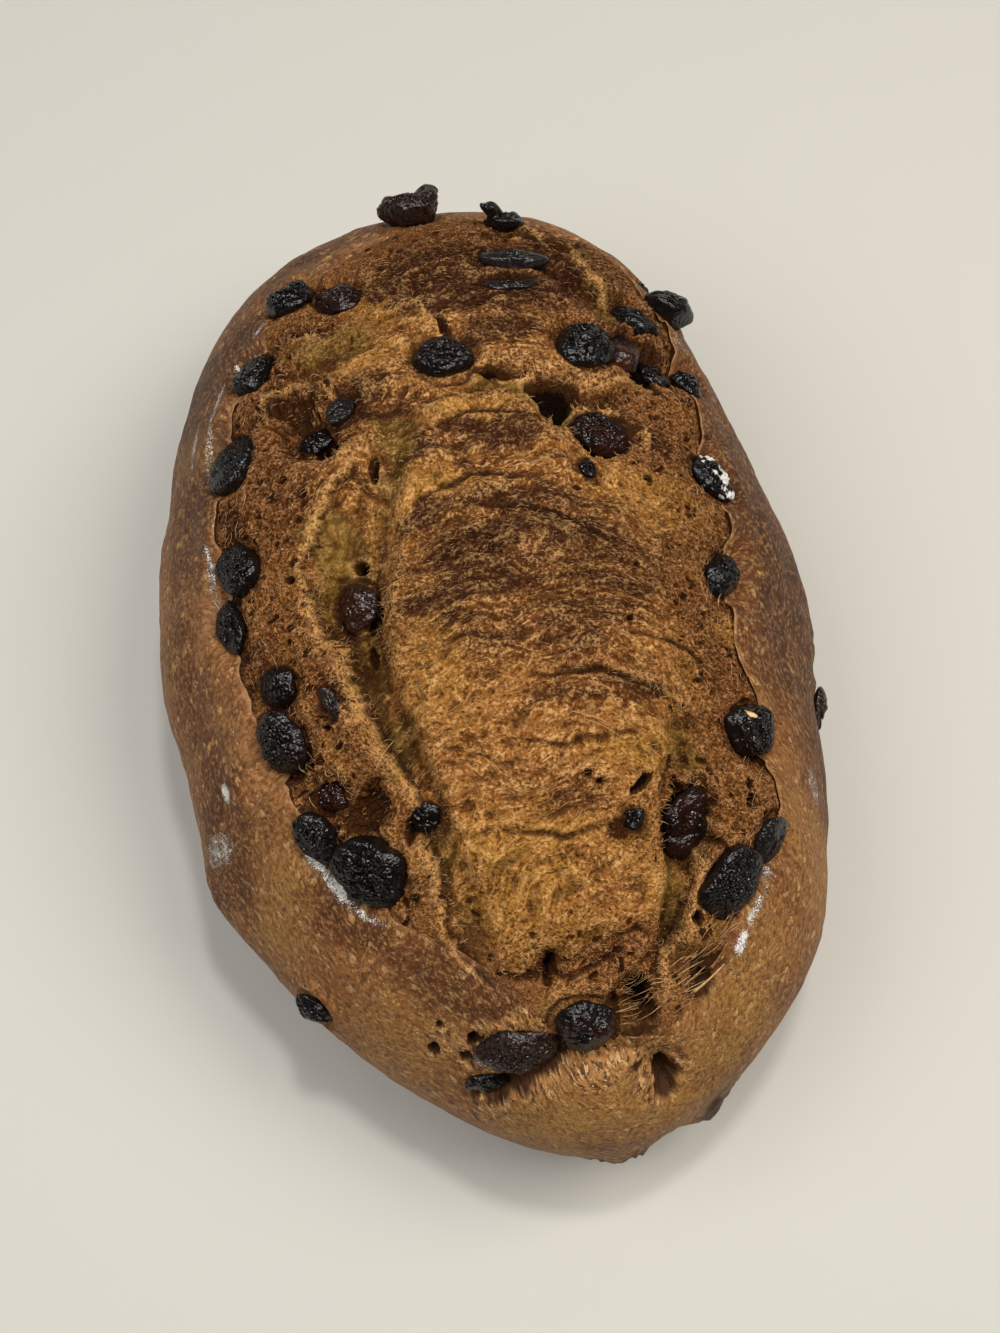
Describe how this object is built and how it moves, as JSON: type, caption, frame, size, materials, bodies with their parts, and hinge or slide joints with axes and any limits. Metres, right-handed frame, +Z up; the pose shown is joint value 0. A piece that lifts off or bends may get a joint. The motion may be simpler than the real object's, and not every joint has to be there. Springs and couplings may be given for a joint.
{
  "type": "raisin bread",
  "caption": "Oval hand-shaped loaf of raisin bread, its browned crust torn open along a lip round a rough crumb pillow set with dark raisins.",
  "frame": {"origin": "middle of the loaf's outline on the table, at the bottom of its box", "axes": "+Y along the loaf, +X across it to the right, +Z up out of the torn top"},
  "size_m": [0.1596, 0.249, 0.0924],
  "materials": {
    "crust": "satin browned bread crust with pale blisters, darker toasted patches and a little flour, round a torn golden brown crumb",
    "raisin": "wrinkled, glossy, nearly black baked raisin skin, some of it dark maroon or amber"
  },
  "bodies": {
    "root": {"loaf": "crust", "raisin_01": "raisin", "raisin_02": "raisin", "raisin_03": "raisin", "raisin_04": "raisin", "raisin_05": "raisin", "raisin_06": "raisin", "raisin_07": "raisin", "raisin_08": "raisin", "raisin_09": "raisin", "raisin_10": "raisin", "raisin_11": "raisin", "raisin_12": "raisin", "raisin_13": "raisin", "raisin_14": "raisin", "raisin_15": "raisin", "raisin_16": "raisin", "raisin_17": "raisin", "raisin_18": "raisin", "raisin_19": "raisin", "raisin_20": "raisin", "raisin_21": "raisin", "raisin_22": "raisin", "raisin_23": "raisin", "raisin_24": "raisin", "raisin_25": "raisin", "raisin_26": "raisin", "raisin_27": "raisin", "raisin_28": "raisin", "raisin_29": "raisin", "raisin_30": "raisin", "raisin_31": "raisin", "raisin_32": "raisin", "raisin_33": "raisin", "raisin_34": "raisin", "raisin_35": "raisin", "raisin_36": "raisin", "raisin_37": "raisin", "raisin_38": "raisin", "raisin_39": "raisin", "raisin_40": "raisin", "raisin_41": "raisin", "raisin_42": "raisin"}
  },
  "joints": []
}
